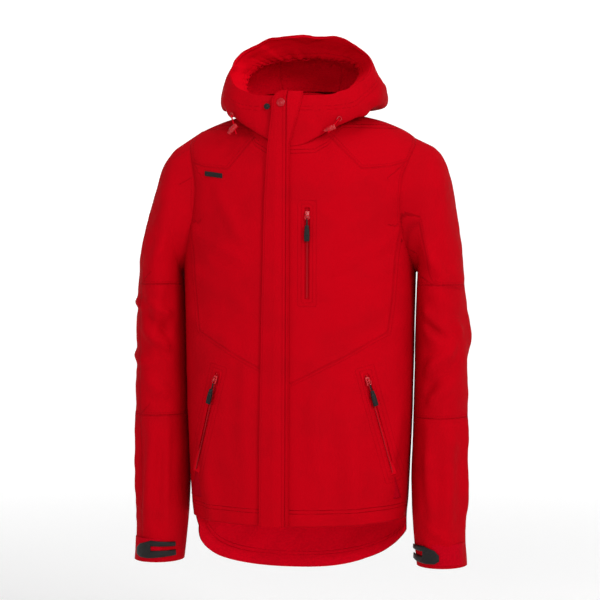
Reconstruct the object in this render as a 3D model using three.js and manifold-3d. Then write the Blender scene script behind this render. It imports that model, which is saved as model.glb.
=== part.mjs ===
// Hooded softshell ski jacket, men's size L, zipped up with the hood raised and the sleeves
// hanging. Millimetres, +Z up, front towards -Y, the wearer's left towards +X. The origin
// is the middle of the neck, level with the shoulder line.
import * as THREE from 'three';
import { mergeVertices } from 'three/addons/utils/BufferGeometryUtils.js';
import Module from 'manifold-3d';

const wasm = await Module();
wasm.setup();

const CLOTH = 3; // shell fabric with its bonded lining
const SEAM = 0.4; // gap left between panels that are sewn together
const FRONT_Y = -117.5; // the centre front at z = 0
const FRONT_SLOPE = 0.0247; // how far it leans out per mm down
const ZIP_X = -12; // the front zip, under the storm flap
const SIDE_Y = 8; // side and shoulder seams
const WINDOW = 10.5; // width of the openings that the pocket zips show through
const ELBOW_TOP = -290; // seams above and below the shaped elbow panel
const ELBOW_END = -515;

const RED = 0xb70013;
const BLACK = 0x231f1f;

const jacket = new THREE.Group();
jacket.name = 'ski_jacket';

// ---- helpers ----

// A loop of cloth round the body: half width, front and back, and its height at the front,
// the sides and the back. A smaller bow makes a squarer loop.
function ring({ half, front, back, z, centre = 0, drop = 2, bow = 0.87, count = 36 }) {
  const points = [];
  for (let i = 0; i < count; i++) {
    const turn = (2 * Math.PI * i) / count;
    const c = Math.cos(turn);
    const s = Math.sin(turn);
    const reach = s > 0 ? back - centre : centre - front;
    const rise = s > 0 ? (z[2] - z[1]) * s ** drop : (z[0] - z[1]) * s ** 2;
    points.push(new THREE.Vector3(
      half * Math.sign(c) * Math.abs(c) ** bow,
      centre + reach * Math.sign(s) * Math.abs(s) ** bow,
      z[1] + rise,
    ));
  }
  return points;
}

// A loop of a sleeve, from its outer point [x, z] to its inner point [x, z].
function sleeveRing([outX, outZ], [inX, inZ], depth, y, count = 24) {
  const points = [];
  for (let i = 0; i < count; i++) {
    const turn = (2 * Math.PI * i) / count;
    const c = Math.cos(turn);
    points.push(new THREE.Vector3(
      (outX + inX + (outX - inX) * c) / 2,
      y + depth * Math.sin(turn),
      (outZ + inZ + (outZ - inZ) * c) / 2,
    ));
  }
  return points;
}

// The faces between loops, which run down the body, facing outwards.
function sides(loops, count, first = 0, flip = false) {
  const index = [];
  for (let i = 0; i < loops - 1; i++) {
    for (let j = 0; j < count; j++) {
      const a = first + i * count + j;
      const b = first + i * count + ((j + 1) % count);
      const quad = [a, a + count, b + count, a, b + count, b];
      index.push(...(flip ? quad.reverse() : quad));
    }
  }
  return index;
}

function indexed(points, index) {
  return new THREE.BufferGeometry().setFromPoints(points).setIndex(index);
}

// The same loops moved out of the surface by some distance, or into it.
function offset(rings, by) {
  const count = rings[0].length;
  const sheet = indexed(rings.flat(), sides(rings.length, count));
  sheet.computeVertexNormals();
  const normal = new THREE.Vector3();
  return rings.map((loop, i) => loop.map((p, j) => {
    normal.fromBufferAttribute(sheet.attributes.normal, i * count + j);
    return p.clone().addScaledVector(normal, by);
  }));
}

// A layer of cloth between two distances from the surface through the loops.
function layer(rings, from, to) {
  const count = rings[0].length;
  const loops = rings.length;
  const size = loops * count;
  const index = [...sides(loops, count), ...sides(loops, count, size, true)];
  for (let j = 0; j < count; j++) {
    const k = (j + 1) % count;
    const end = size - count;
    index.push(j, k, size + k, j, size + k, size + j);
    index.push(end + j, size + end + k, end + k, end + j, size + end + j, size + end + k);
  }
  return solid(indexed([...offset(rings, to).flat(), ...offset(rings, from).flat()], index));
}

// The whole space inside the loops, closed at both ends.
function filled(rings, by = 0) {
  const count = rings[0].length;
  const points = offset(rings, by).flat();
  const index = sides(rings.length, count);
  const last = points.length - count;
  for (const first of [0, last]) {
    const middle = new THREE.Vector3();
    points.slice(first, first + count).forEach((p) => middle.addScaledVector(p, 1 / count));
    points.push(middle);
    for (let j = 0; j < count; j++) {
      const edge = [first + j, first + ((j + 1) % count)];
      index.push(...(first ? edge.reverse() : edge), points.length - 1);
    }
  }
  return solid(indexed(points, index));
}

function solid(geometry) {
  const shape = geometry.clone();
  shape.deleteAttribute('normal');
  shape.deleteAttribute('uv');
  const merged = mergeVertices(shape, 1e-4);
  return new wasm.Manifold(new wasm.Mesh({
    numProp: 3,
    vertProperties: new Float32Array(merged.attributes.position.array),
    triVerts: new Uint32Array(merged.index.array),
  }));
}

function shapeOf(outline) {
  return new THREE.Shape(outline.map(([u, v]) => new THREE.Vector2(u, v)));
}

function extruded(outline, depth) {
  return new THREE.ExtrudeGeometry(shapeOf(outline), { depth, bevelEnabled: false });
}

// An outline in x and z, carried from one y to another.
function through(outline, y0, y1) {
  const turn = new THREE.Matrix4().makeBasis(
    new THREE.Vector3(1, 0, 0), new THREE.Vector3(0, 0, 1), new THREE.Vector3(0, -1, 0));
  return extruded(outline, y1 - y0).applyMatrix4(turn.setPosition(0, y1, 0));
}

// An outline in y and z, carried from one x to another.
function across(outline, x0, x1) {
  const turn = new THREE.Matrix4().makeBasis(
    new THREE.Vector3(0, 1, 0), new THREE.Vector3(0, 0, 1), new THREE.Vector3(1, 0, 0));
  return extruded(outline, x1 - x0).applyMatrix4(turn.setPosition(x0, 0, 0));
}

function box([x0, x1], [y0, y1], [z0, z1]) {
  return new THREE.BoxGeometry(x1 - x0, y1 - y0, z1 - z0)
    .translate((x0 + x1) / 2, (y0 + y1) / 2, (z0 + z1) / 2);
}

function add(name, shape, colour, roughness = 0.85, parent = jacket) {
  let geometry = shape;
  if (!shape.isBufferGeometry) {
    const mesh = shape.getMesh();
    geometry = new THREE.BufferGeometry();
    geometry.setAttribute('position', new THREE.BufferAttribute(mesh.vertProperties, 3));
    geometry.setIndex(new THREE.BufferAttribute(mesh.triVerts, 1));
  }
  const material = new THREE.MeshStandardMaterial({ color: colour, roughness });
  const mesh = new THREE.Mesh(geometry, material);
  mesh.name = name;
  parent.add(mesh);
  return mesh;
}

const flip = (outline) => outline.map(([x, z]) => [-x, z]).reverse();
const frontY = (z) => FRONT_Y + FRONT_SLOPE * z;

// ---- the body of the jacket ----

// Half width, front and back depth, then height at the front, sides and back. The front
// edge stays straight from the neck to the hem so that the zip can run.
const bodyTable = [
  [80, 68, -58, 4, 34],
  [104, 82, -74, -3, 14],
  [142, 97, -99, -14, -16],
  [182, 111, -128, -33, -60],
  [200, 120, -158, -56, -100],
  [204, 127, -196, -100, -145],
  [202, 132, -250, -180, -215],
  [199, 134, -335, -290, -315],
  [196.5, 133, -430, -410, -420],
  [194, 131, -520, -515, -520],
  [190, 131, -600, -600, -610],
  [187, 133, -660, -657, -684],
];
const bodyRings = bodyTable.map(([half, back, ...z]) => (
  ring({ half, front: frontY(z[0]), back, z })));
// The hem drops in a curved tail behind.
bodyRings.push(ring({
  half: 184, front: frontY(-691), back: 138, z: [-691, -686, -803], drop: 0.7,
}));

const sleeveTable = [
  [[168, -18], [176, -256], 84, 8],
  [[206, -43], [199, -265], 84, 8],
  [[227, -59], [204, -272], 84, 8],
  [[243, -84], [205, -279], 84, 9],
  [[255, -124], [205, -288], 83, 10],
  [[266, -168], [204.5, -302], 81, 10],
  [[275, -216], [203, -322], 79, 11],
  [[282, -270], [202, -348], 76, 12],
  [[287, -340], [200.5, -386], 73, 12],
  [[289, -420], [199.5, -440], 70, 11],
  [[289, -520], [198.5, -525], 66, 7],
  [[288, -620], [195.5, -620], 61, 1],
  [[286, -700], [197, -700], 57, -4],
  [[289, -768], [203, -768], 53, -7],
];
const sleeveRings = sleeveTable.map((row) => sleeveRing(...row));

function mirrored(manifold) {
  const mesh = manifold.getMesh();
  const points = Float32Array.from(mesh.vertProperties, (v, i) => (i % 3 ? v : -v));
  return new wasm.Manifold(new wasm.Mesh({
    numProp: 3,
    vertProperties: points,
    triVerts: Uint32Array.from(mesh.triVerts).reverse(),
  }));
}

// The armholes are the insides of the sleeves, carried into the body.
const armhole = filled(sleeveRings.slice(0, 3), -CLOTH);
const bodyCloth = layer(bodyRings, -CLOTH, 0).subtract(armhole).subtract(mirrored(armhole));

// Front panels, drawn for the wearer's left from the zip outwards. The yoke runs over the
// shoulder, and the side panel carries the hand pocket.
const yokeSeam = [[61, -38], [113, -95], [158, -90], [230, -70]];
const sideSeam = [[196, -150], [179, -175], [170, -240], [158, -367]];
const frontPanels = (inner) => ({
  yoke: [[20, 60], ...yokeSeam, [230, 60]],
  chest: [[inner, 60], [20, 60], ...yokeSeam, [230, -150], ...sideSeam, [inner, -453]],
  side: [[inner, -453], ...sideSeam.toReversed(), [230, -150], [230, -760], [inner, -760]],
});

// Pulls an outline in from its neighbours by half a seam gap.
function trimmed(outline) {
  const area = THREE.ShapeUtils.area(outline.map(([x, y]) => new THREE.Vector2(x, y)));
  const inward = Math.sign(area) * (SEAM / 2);
  return outline.map(([x, y], i) => {
    const [ax, ay] = outline[(i + outline.length - 1) % outline.length];
    const [bx, by] = outline[(i + 1) % outline.length];
    const one = new THREE.Vector2(x - ax, y - ay).normalize();
    const two = new THREE.Vector2(bx - x, by - y).normalize();
    const middle = one.clone().add(two).normalize();
    const step = inward / Math.max(0.4, middle.dot(one));
    return [x - middle.y * step, y + middle.x * step];
  });
}

const zipSlot = solid(through([
  [ZIP_X - 6, -900], [ZIP_X + 6, -900], [ZIP_X + 6, 120], [ZIP_X - 6, 120]], -400, -60));

// Zipped pockets: the top of the zip, its length and how far it leans out at the bottom.
const pockets = {
  chest: { x: 29, z: -166, length: 140, lean: 0 },
  hand_L: { x: 127, z: -442, length: 165, lean: 0.25 },
  hand_R: { x: -127, z: -442, length: 165, lean: -0.25 },
};

// A strip lying along a pocket's zip, from one distance down it to another.
function strip({ x, z, lean }, width, start, end) {
  const along = new THREE.Vector2(Math.sin(lean), -Math.cos(lean));
  const side = new THREE.Vector2(Math.cos(lean), Math.sin(lean)).multiplyScalar(width / 2);
  const corner = (down, hand) => [
    x + along.x * down + side.x * hand, z + along.y * down + side.y * hand];
  return [corner(start, -1), corner(end, -1), corner(end, 1), corner(start, 1)];
}

const slots = {};
for (const [name, pocket] of Object.entries(pockets)) {
  slots[name] = solid(through(strip(pocket, WINDOW, -8, pocket.length + 8), -400, -20));
}

for (const [side, hand] of [['L', 1], ['R', -1]]) {
  for (const [name, outline] of Object.entries(frontPanels(hand * ZIP_X))) {
    const edge = trimmed(hand > 0 ? outline : flip(outline));
    const region = solid(through(edge, -400, SIDE_Y - SEAM / 2));
    let cloth = bodyCloth.intersect(region).subtract(zipSlot);
    if (name === 'chest' && side === 'L') {
      cloth = cloth.subtract(slots.chest);
    }
    if (name === 'side') {
      cloth = cloth.subtract(slots[`hand_${side}`]);
    }
    add(`${name}_${side}`, cloth, RED);
  }
}
const behind = solid(box([-300, 300], [SIDE_Y + SEAM / 2, 300], [-900, 100]));
add('back', bodyCloth.intersect(behind), RED);

// ---- sleeves ----

const band = (from, to) => solid(box([100, 400], [-200, 200], [to + SEAM / 2, from - SEAM / 2]));
const bodyFilled = filled(bodyRings, SEAM);
const sleeveCloth = layer(sleeveRings, -CLOTH, 0);
const sleeveParts = {
  sleeve_upper: sleeveCloth.subtract(bodyFilled).intersect(band(100, ELBOW_TOP)),
  sleeve_elbow: sleeveCloth.intersect(band(ELBOW_TOP, ELBOW_END)),
  sleeve_lower: sleeveCloth.intersect(band(ELBOW_END, -900)),
};
for (const [name, cloth] of Object.entries(sleeveParts)) {
  add(`${name}_L`, cloth, RED);
  add(`${name}_R`, mirrored(cloth), RED);
}

// Cuff adjusters: a two-legged moulded tab, sewn on by its legs, over a plush patch that it
// grips. The left one is pulled further in.
const tabOutline = [
  [212, -733], [250, -730], [270, -738], [277, -750], [272, -760], [255, -761], [212, -757]];
const tabSlot = [[214, -741], [252, -740], [252, -747], [214, -747]];
const patchOutline = [[232, -727], [284, -727], [284, -764], [232, -764]];
const cuffFront = (outline) => solid(through(outline, -120, -12));
const moved = (outline, by) => outline.map(([x, z]) => [x + by, z]);
const tabAt = (by) => layer(sleeveRings, 2.2, 4.6)
  .intersect(cuffFront(moved(tabOutline, by)))
  .subtract(solid(through(moved(tabSlot, by), -200, 0)));
const patch = layer(sleeveRings, SEAM, 1.7).intersect(cuffFront(patchOutline));
add('cuff_tab_L', tabAt(-32), BLACK, 0.6);
add('cuff_tab_R', mirrored(tabAt(0)), BLACK, 0.6);
add('cuff_patch_L', patch, RED, 0.6);
add('cuff_patch_R', mirrored(patch), RED, 0.6);

// ---- hood ----

const hoodTable = [
  [80, -57.5, 4.5, 34.5, 68, 0],
  [112, -46, 5, 34, 94, 4],
  [137, -28, 11, 37, 122, 8],
  [145, -8, 24, 44, 142, 6],
  [142, 22, 42, 50, 152, -10],
  [135, 46, 60, 57, 152, -36],
  [127, 68, 79, 68, 142, -50],
  [118, 94, 98, 78, 128, -48],
  [97, 116, 114, 88, 108, -30],
  [66, 132, 128, 100, 84, -14],
  [30, 139, 133, 112, 54, 0],
];
const hoodFront = [null, null, null, null, null, -112, -102, -86, -64, -42, -24];
const hoodRings = hoodTable.map(([half, zf, zs, zb, back, centre], i) => ring({
  half, front: hoodFront[i] ?? frontY(zf), back, z: [zf, zs, zb], centre,
  bow: 0.87 - 0.012 * i,
})).toReversed();
const neckSpace = filled([
  ring({ half: 77, front: frontY(0) + 3, back: 65, z: [0, 45, 75] }),
  ring({ half: 77, front: frontY(0) + 3, back: 65, z: [-80, -30, 0] }),
]);
const rim = [
  [-300, 26], [-118, 26], [-107, 31], [-90, 46], [-62, 75], [-35, 93], [-18, 118], [-10, 170],
  [-300, 170]];
const faceSpace = solid(across(rim, -300, 300));
const hoodCloth = filled(hoodRings)
  .subtract(filled(hoodRings, -CLOTH))
  .subtract(neckSpace)
  .subtract(faceSpace)
  .subtract(zipSlot);

// Below the fold line is the collar, which stays up when the hood is pushed back.
const foldLine = [[-200, 38], [60, 46], [200, 70]];
const shifted = (outline, by) => outline.map(([y, z]) => [y, z + by]);
const below = across([
  [-200, -200], [200, -200], ...shifted(foldLine, -SEAM / 2).toReversed()], -300, 300);
const above = across([
  [-200, 300], [200, 300], ...shifted(foldLine, SEAM / 2).toReversed()], -300, 300);
const brimLine = [[-66, -20], [40, 58], [72, 150]];
const brimSide = across([[-300, -20], ...brimLine, [-300, 150]], -300, 300);
const backSide = across([[300, -20], [300, 150], ...brimLine.map(([y, z]) => [y + SEAM, z])
  .toReversed()], -300, 300);
add('collar', hoodCloth.intersect(solid(below)), RED);
const hoodTop = hoodCloth.intersect(solid(above));
add('hood_front', hoodTop.intersect(solid(brimSide)), RED);
add('hood_back', hoodTop.intersect(solid(backSide)), RED);

// The facing that lines the face opening, gathered along its inner edge.
const facingLine = rim.slice(3, 8).map(([y, z]) => [y + 42, z + 6]);
const facingZone = across([[-300, 60], ...facingLine, [-300, 176]], -300, 300);
add('hood_facing', filled(hoodRings, -CLOTH - SEAM)
  .subtract(filled(hoodRings, -CLOTH - 1.6))
  .subtract(faceSpace)
  .intersect(solid(facingZone)), RED);

// ---- front zip and storm flap, in a frame that leans with the front edge ----

const front = new THREE.Group();
front.position.y = FRONT_Y;
front.rotation.x = -Math.atan(FRONT_SLOPE);
jacket.add(front);

add('zip_tape_L', box([ZIP_X + 0.2, ZIP_X + 12], [6.2, 7], [-684, 16]), RED, 0.7, front);
add('zip_tape_R', box([ZIP_X - 7.5, ZIP_X - 0.2], [6.2, 7], [-684, 16]), RED, 0.7, front);
add('zip_coil', box([ZIP_X - 2.5, ZIP_X + 2.5], [1, 4.8], [-682, 16]), BLACK, 0.5, front);
const mainSlider = solid(box([ZIP_X - 4.5, ZIP_X + 4.5], [-1.6, 0.5], [-14, -2]))
  .add(solid(box([ZIP_X - 1.2, ZIP_X + 1.2], [-3.6, -1.5], [-12, -4])));
add('zip_slider', mainSlider, BLACK, 0.4, front);
const mainPull = solid(box([ZIP_X - 3.6, ZIP_X + 3.6], [-3.5, -2.1], [-46, -2]))
  .subtract(solid(box([ZIP_X - 1.7, ZIP_X + 1.7], [-5, 0], [-12.6, -3.4])));
add('zip_pull', mainPull, BLACK, 0.5, front);

// The flap stands off the slider and comes down to the cloth at its free edge.
const flapSection = [[-6.2, -7.6], [-24, -7.6], [-50, -1.8], [-50, 1.2], [-23, -4.6], [-6.2, -4.6]];
const flapOutline = [
  [-6.2, -691], [-6.2, 34], [-16, 35], [-25, 31], [-30, 20], [-31, -6], [-38, -60], [-43, -150],
  [-47, -330], [-50, -560], [-50, -691]];
const baseOutline = [[-5.8, -691], [0, -691], [0, -56], [20, 18], [20, 30], [8, 33], [-5.8, 34]];
const flapBlank = solid(extruded(flapSection, 760).translate(0, 0, -715));
add('storm_flap', flapBlank.intersect(solid(through(flapOutline, -20, 20))), RED, 0.85, front);
add('flap_base', through(baseOutline, -7.6, -0.6), RED, 0.85, front);

// Snap fastener at the top of the flap: a cap with its socket behind, and the stud on the
// other side of the collar.
function turned(profile, segments = 20) {
  return new THREE.LatheGeometry(profile.map(([r, y]) => new THREE.Vector2(r, y)), segments)
    .rotateX(Math.PI);
}
const cap = [[0, 0], [7, 0], [7, 0.6], [5, 1.8], [0, 2.4]];
const stud = [[0, 0], [5, 0], [5, 1], [2.8, 1], [2.4, 2.6], [0, 2.8]];
add('snap_cap', turned(cap).translate(-14.5, -8, 14), RED, 0.35, front);
add('snap_socket', turned([[0, 0], [5, 0], [5, 1.2], [0, 1.2]]).translate(-14.5, -3.1, 14), BLACK,
  0.4, front);
add('snap_stud', turned(stud).translate(-39, -0.6, 8), BLACK, 0.4, front);

// ---- pockets ----

const bodyY = (x, z) => frontY(z) * (1 - Math.abs(x / 197) ** 2.3) ** 0.435;
const bodySlope = (x, z) => (bodyY(x + 1, z) - bodyY(x - 1, z)) / 2;

function tube(points, radius, segments, sides = 8) {
  const circle = new THREE.Shape().absarc(0, 0, radius, 0, 2 * Math.PI);
  return new THREE.ExtrudeGeometry(circle, {
    steps: segments,
    curveSegments: sides,
    bevelEnabled: false,
    extrudePath: new THREE.CatmullRomCurve3(points),
  });
}

// Each zip has its own frame: z up along the zip, y into the jacket.
for (const [name, pocket] of Object.entries(pockets)) {
  const end = [pocket.x + Math.sin(pocket.lean) * pocket.length,
    pocket.z - Math.cos(pocket.lean) * pocket.length];
  const top = new THREE.Vector3(pocket.x, bodyY(pocket.x, pocket.z), pocket.z);
  const bottom = new THREE.Vector3(end[0], bodyY(...end), end[1]);
  const middle = top.clone().add(bottom).multiplyScalar(0.5);
  const along = top.clone().sub(bottom).normalize();
  const inward = new THREE.Vector3(-bodySlope(middle.x, middle.z), 1, 0)
    .projectOnPlane(along).normalize();
  const frame = new THREE.Group();
  frame.applyMatrix4(new THREE.Matrix4()
    .makeBasis(inward.clone().cross(along), inward, along).setPosition(top));
  jacket.add(frame);

  const coil = solid(box([-4.6, 4.6], [1.4, 2.4], [-pocket.length, 0]))
    .add(solid(box([-2, 2], [0.2, 1.6], [-pocket.length, 0])));
  add(`${name}_zip`, coil, RED, 0.6, frame);
  const slider = solid(box([-4, 4], [-2, -0.3], [-12, 0]))
    .add(solid(box([-1.1, 1.1], [-5.2, -1.9], [-10, -2])))
    .subtract(solid(box([-3, 3], [-4, -2], [-8, -4])));
  add(`${name}_slider`, slider, RED, 0.4, frame);
  // The pull: a wire loop through the slider's bridge, a short cord and a moulded end.
  const pull = solid(new THREE.TorusGeometry(4, 0.7, 6, 20).rotateX(Math.PI / 2)
    .translate(0, 0, -4))
    .add(solid(new THREE.CylinderGeometry(1.2, 1.2, 13, 8).rotateX(Math.PI / 2)
      .translate(0, -1.1, -14)))
    .add(solid(new THREE.CapsuleGeometry(4.4, 20, 4, 12).scale(1, 1, 0.5).rotateX(Math.PI / 2)
      .translate(0, -2.6, -31)));
  add(`${name}_pull`, pull, BLACK, 0.6, frame).position.set(0, -3, -6);
}

// Pocket bags, sewn behind the panels.
const bagCloth = layer(bodyRings, -CLOTH - 7, -CLOTH - 6.2);
const bagOutline = [[70, -435], [125, -428], [176, -640], [70, -660]];
const chestBag = [[10, -160], [85, -160], [85, -330], [10, -330]];
for (const [name, outline] of [
  ['hand_L_bag', bagOutline], ['hand_R_bag', flip(bagOutline)], ['chest_bag', chestBag]]) {
  add(name, bagCloth.intersect(solid(through(outline, -300, -20))), RED, 0.9);
}

// A woven tag let into the yoke seam on the wearer's right.
const tagCloth = layer(bodyRings, SEAM, 1.6);
const tagOutline = [[-156, -98], [-123, -102], [-123.5, -110], [-156.5, -106]];
add('chest_tag', tagCloth.intersect(solid(through(tagOutline, -200, -20))), BLACK, 0.8);

// ---- drawcord of the hood: an eyelet, a cord end and a push-button lock on each side ----

const locks = {
  L: { eyelet: [81, -107.5, -13], at: [70, -117, -28], facing: 0.42, turn: 1.21 },
  R: { eyelet: [-103, -92.5, -5], at: [-96, -104, -26], facing: -0.62, turn: 0.75 },
};
for (const [side, { eyelet, at, facing, turn }] of Object.entries(locks)) {
  const grommet = new THREE.TorusGeometry(3.4, 1, 6, 16).rotateX(Math.PI / 2).rotateZ(facing);
  add(`eyelet_${side}`, grommet, RED, 0.3).position.set(...eyelet);

  // The cord leaves the eyelet and runs straight through the lock.
  const start = new THREE.Vector3(eyelet[0], eyelet[1] - 2.8, eyelet[2]);
  const middle = new THREE.Vector3(...at);
  const run = middle.clone().sub(start);
  const end = middle.clone().addScaledVector(run, 0.55);
  add(`hood_cord_${side}`, tube([start, middle, end], 1.3, 4), RED, 0.7);

  const lock = new THREE.Group();
  lock.position.copy(middle);
  lock.rotation.y = turn;
  jacket.add(lock);
  const profile = [[0, -6], [4, -6], [4.8, -5], [4.8, 9], [3.8, 9], [3.8, 6.5], [0, 6.5]];
  const hole = new THREE.CylinderGeometry(2, 2, 24, 12);
  hole.applyQuaternion(new THREE.Quaternion().setFromUnitVectors(
    new THREE.Vector3(0, 1, 0), run.applyQuaternion(lock.quaternion.clone().invert()).normalize()));
  const barrel = turned(profile, 16).rotateX(-Math.PI / 2);
  add(`cord_lock_${side}`, solid(barrel).subtract(solid(hole)), RED, 0.25, lock);
  const button = turned([[0, 9.2], [3.3, 9.2], [3.3, 14], [2.7, 14.6], [0, 14.6]], 16);
  add(`lock_button_${side}`, button.rotateX(-Math.PI / 2), RED, 0.3, lock);
}

// ---- inside the back of the neck ----

const tape = (x0, x1, z0, z1) => solid(box([x0, x1], [60.4, 61.4], [z0, z1]));
add('hanger_loop', tape(-15, -10, -6, 33).add(tape(5, 10, -6, 33)).add(tape(-15, 10, -6, -1)),
  RED, 0.8);
add('neck_label', box([-9.5, 4.5], [62.2, 63], [12, 33]), BLACK, 0.9);
add('size_tag', box([13, 20], [61.6, 62.4], [18, 33]), BLACK, 0.9);

export default jacket;
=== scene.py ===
# A hooded softshell ski jacket, zipped up on an invisible form: hood raised, sleeves
# hanging. Metres, +Z up, front towards -Y, the wearer's left towards +X.
import math

import bmesh
import bpy
import numpy as np
from mathutils import Matrix, Vector, noise
from mathutils.bvhtree import BVHTree


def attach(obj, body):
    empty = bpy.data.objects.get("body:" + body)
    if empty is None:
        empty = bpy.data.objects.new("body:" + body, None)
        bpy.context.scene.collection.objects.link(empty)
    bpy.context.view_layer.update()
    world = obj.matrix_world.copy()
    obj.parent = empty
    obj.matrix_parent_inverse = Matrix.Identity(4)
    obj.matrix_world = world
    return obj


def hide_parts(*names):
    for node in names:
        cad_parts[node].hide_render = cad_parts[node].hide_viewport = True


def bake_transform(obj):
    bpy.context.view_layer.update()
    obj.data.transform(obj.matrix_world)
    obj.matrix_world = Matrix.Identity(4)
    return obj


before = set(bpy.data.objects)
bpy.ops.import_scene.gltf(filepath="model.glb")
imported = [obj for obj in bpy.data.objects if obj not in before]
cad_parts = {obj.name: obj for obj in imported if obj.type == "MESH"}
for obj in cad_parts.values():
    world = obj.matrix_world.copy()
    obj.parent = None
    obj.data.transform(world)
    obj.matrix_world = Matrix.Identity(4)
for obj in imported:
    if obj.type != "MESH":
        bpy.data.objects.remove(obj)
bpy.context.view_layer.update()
scene = bpy.context.scene

# ---------------------------------------------------------------------------------------
# Camera: a long lens at chest height, a little to the wearer's left.
camera_data = bpy.data.cameras.new("camera")
camera_data.lens = 122
camera_data.clip_end = 50
camera = bpy.data.objects.new("camera", camera_data)
scene.collection.objects.link(camera)
aim = Vector((0.0, 0.0, -0.318))
azimuth, elevation, distance = math.radians(8), math.radians(2.2), 3.5
away = Vector((math.sin(azimuth) * math.cos(elevation),
               -math.cos(azimuth) * math.cos(elevation), math.sin(elevation)))
camera.location = aim + away * distance
camera.rotation_euler = (-away).to_track_quat("-Z", "Y").to_euler()
scene.camera = camera

# ---------------------------------------------------------------------------------------
# Studio: a wide pale floor that turns up far away into a low wall, a little brighter
# away from the jacket, and soft boxes in front, above and at both sides.
scene.view_settings.view_transform = "Standard"


class S:
    """A shader socket that takes part in sums, so that a pattern reads as a formula."""

    def __init__(self, tree, socket):
        self.tree, self.socket = tree, socket

    def node(self, kind, inputs=(), out=0, **settings):
        made = self.tree.nodes.new(kind)
        for key, value in settings.items():
            setattr(made, key, value)
        for key, value in dict(inputs).items():
            if isinstance(value, S):
                self.tree.links.new(value.socket, made.inputs[key])
            elif value is not None:
                made.inputs[key].default_value = value
        return S(self.tree, made.outputs[out])

    def math(self, operation, *others):
        return self.node("ShaderNodeMath", enumerate((self, *others)), operation=operation)

    def __add__(self, other): return self.math("ADD", other)
    def __sub__(self, other): return self.math("SUBTRACT", other)
    def __rsub__(self, other): return self * -1 + other
    def __mul__(self, other): return self.math("MULTIPLY", other)
    __radd__, __rmul__ = __add__, __mul__

    def ramp(self, low, high, start=0.0, end=1.0):
        return self.node("ShaderNodeMapRange", {"Value": self, "From Min": low, "From Max": high,
                                                "To Min": start, "To Max": end},
                         interpolation_type="SMOOTHSTEP")

    def mix(self, first, second):
        return self.node("ShaderNodeMix", {0: self, 6: first, 7: second}, out=2,
                         data_type="RGBA")


def material(name, colour, roughness=0.8, **settings):
    """A new material, its Principled node and a starting socket for formulas."""
    made = bpy.data.materials.new(name)
    made.use_nodes = True
    tree = made.node_tree
    shader = tree.nodes["Principled BSDF"]
    shader.inputs["Base Color"].default_value = (*colour, 1)
    shader.inputs["Roughness"].default_value = roughness
    for key, value in settings.items():
        shader.inputs[key.replace("_", " ")].default_value = value
    return made, shader, S(tree, None)


def feed(socket, shader, name):
    socket.tree.links.new(socket.socket, shader.inputs[name])


paper, paper_shader, s = material("paper", (0.9, 0.9, 0.9), 0.9, Emission_Strength=1.0)
spot = s.node("ShaderNodeTexCoord", out=3)
grain = s.node("ShaderNodeTexNoise", {"Vector": spot, "Scale": 3.0, "Detail": 2.0})
feed(grain.ramp(0.3, 0.7, 0.85, 0.95), paper_shader, "Roughness")
far = s.node("ShaderNodeVectorMath", {0: spot}, out=1, operation="LENGTH")
glow = far.ramp(1.2, 4.5).mix((0.14, 0.14, 0.14, 1), (0.48, 0.48, 0.48, 1))
feed(glow, paper_shader, "Emission Color")
FLOOR, FLOOR_RADIUS, WALL_BEND = -1.05, 8.0, 3.4
bm = bmesh.new()
bmesh.ops.create_grid(bm, x_segments=96, y_segments=48, size=1)
for vert in bm.verts:
    angle, run = vert.co.x * math.pi, (vert.co.y + 1) * 6.5
    bend = max(run - FLOOR_RADIUS, 0) / WALL_BEND
    out = min(run, FLOOR_RADIUS) + WALL_BEND * math.sin(bend)
    vert.co = Vector((out * math.sin(angle), out * math.cos(angle),
                      FLOOR + WALL_BEND * (1 - math.cos(bend))))
bmesh.ops.remove_doubles(bm, verts=bm.verts, dist=1e-4)
bmesh.ops.recalc_face_normals(bm, faces=bm.faces)
backdrop_mesh = bpy.data.meshes.new("backdrop")
bm.to_mesh(backdrop_mesh)
bm.free()
backdrop_mesh.materials.append(paper)
backdrop_mesh.shade_smooth()
backdrop = bpy.data.objects.new("backdrop", backdrop_mesh)
scene.collection.objects.link(backdrop)

world = bpy.data.worlds.new("studio")
world.use_nodes = True
world.node_tree.nodes["Background"].inputs["Color"].default_value = (1, 1, 1, 1)
world.node_tree.nodes["Background"].inputs["Strength"].default_value = 0.5
scene.world = world
for name, place, width, height, power in (
        ("key_light", (2.4, -2.6, 1.5), 1.1, 1.5, 72),
        ("side_light", (-3.0, -2.2, 0.8), 1.0, 2.0, 10),
        ("top_light", (0.4, -0.6, 2.6), 1.8, 1.4, 38),
        ("hood_fill_light", (0.12, -1.5, 0.12), 0.4, 0.3, 3.6),
        ("fill_light", (0.3, -4.4, 0.1), 1.2, 1.2, 9)):
    lamp = bpy.data.lights.new(name, "AREA")
    lamp.shape, lamp.size, lamp.size_y, lamp.energy = "RECTANGLE", width, height, power
    light = bpy.data.objects.new(name, lamp)
    light.location = place
    light.rotation_euler = (Vector((0, 0, -0.3)) - light.location).to_track_quat(
        "-Z", "Y").to_euler()
    scene.collection.objects.link(light)

# ---------------------------------------------------------------------------------------
# Body of the jacket: softshell sewn into a tube from the neck to the dropped tail, open
# down the front for the zip, with its yokes, chest, side and back panels marked by seams.
MM = 0.001


def front_y(z):
    """The line down the middle of the front, which leans out a little below."""
    return -0.1175 + 0.0247 * z


def body_y(x, z):
    """The front of the body at (x, z)."""
    return front_y(z) * (1 - np.abs(x / 0.197) ** 2.3) ** 0.435


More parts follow.
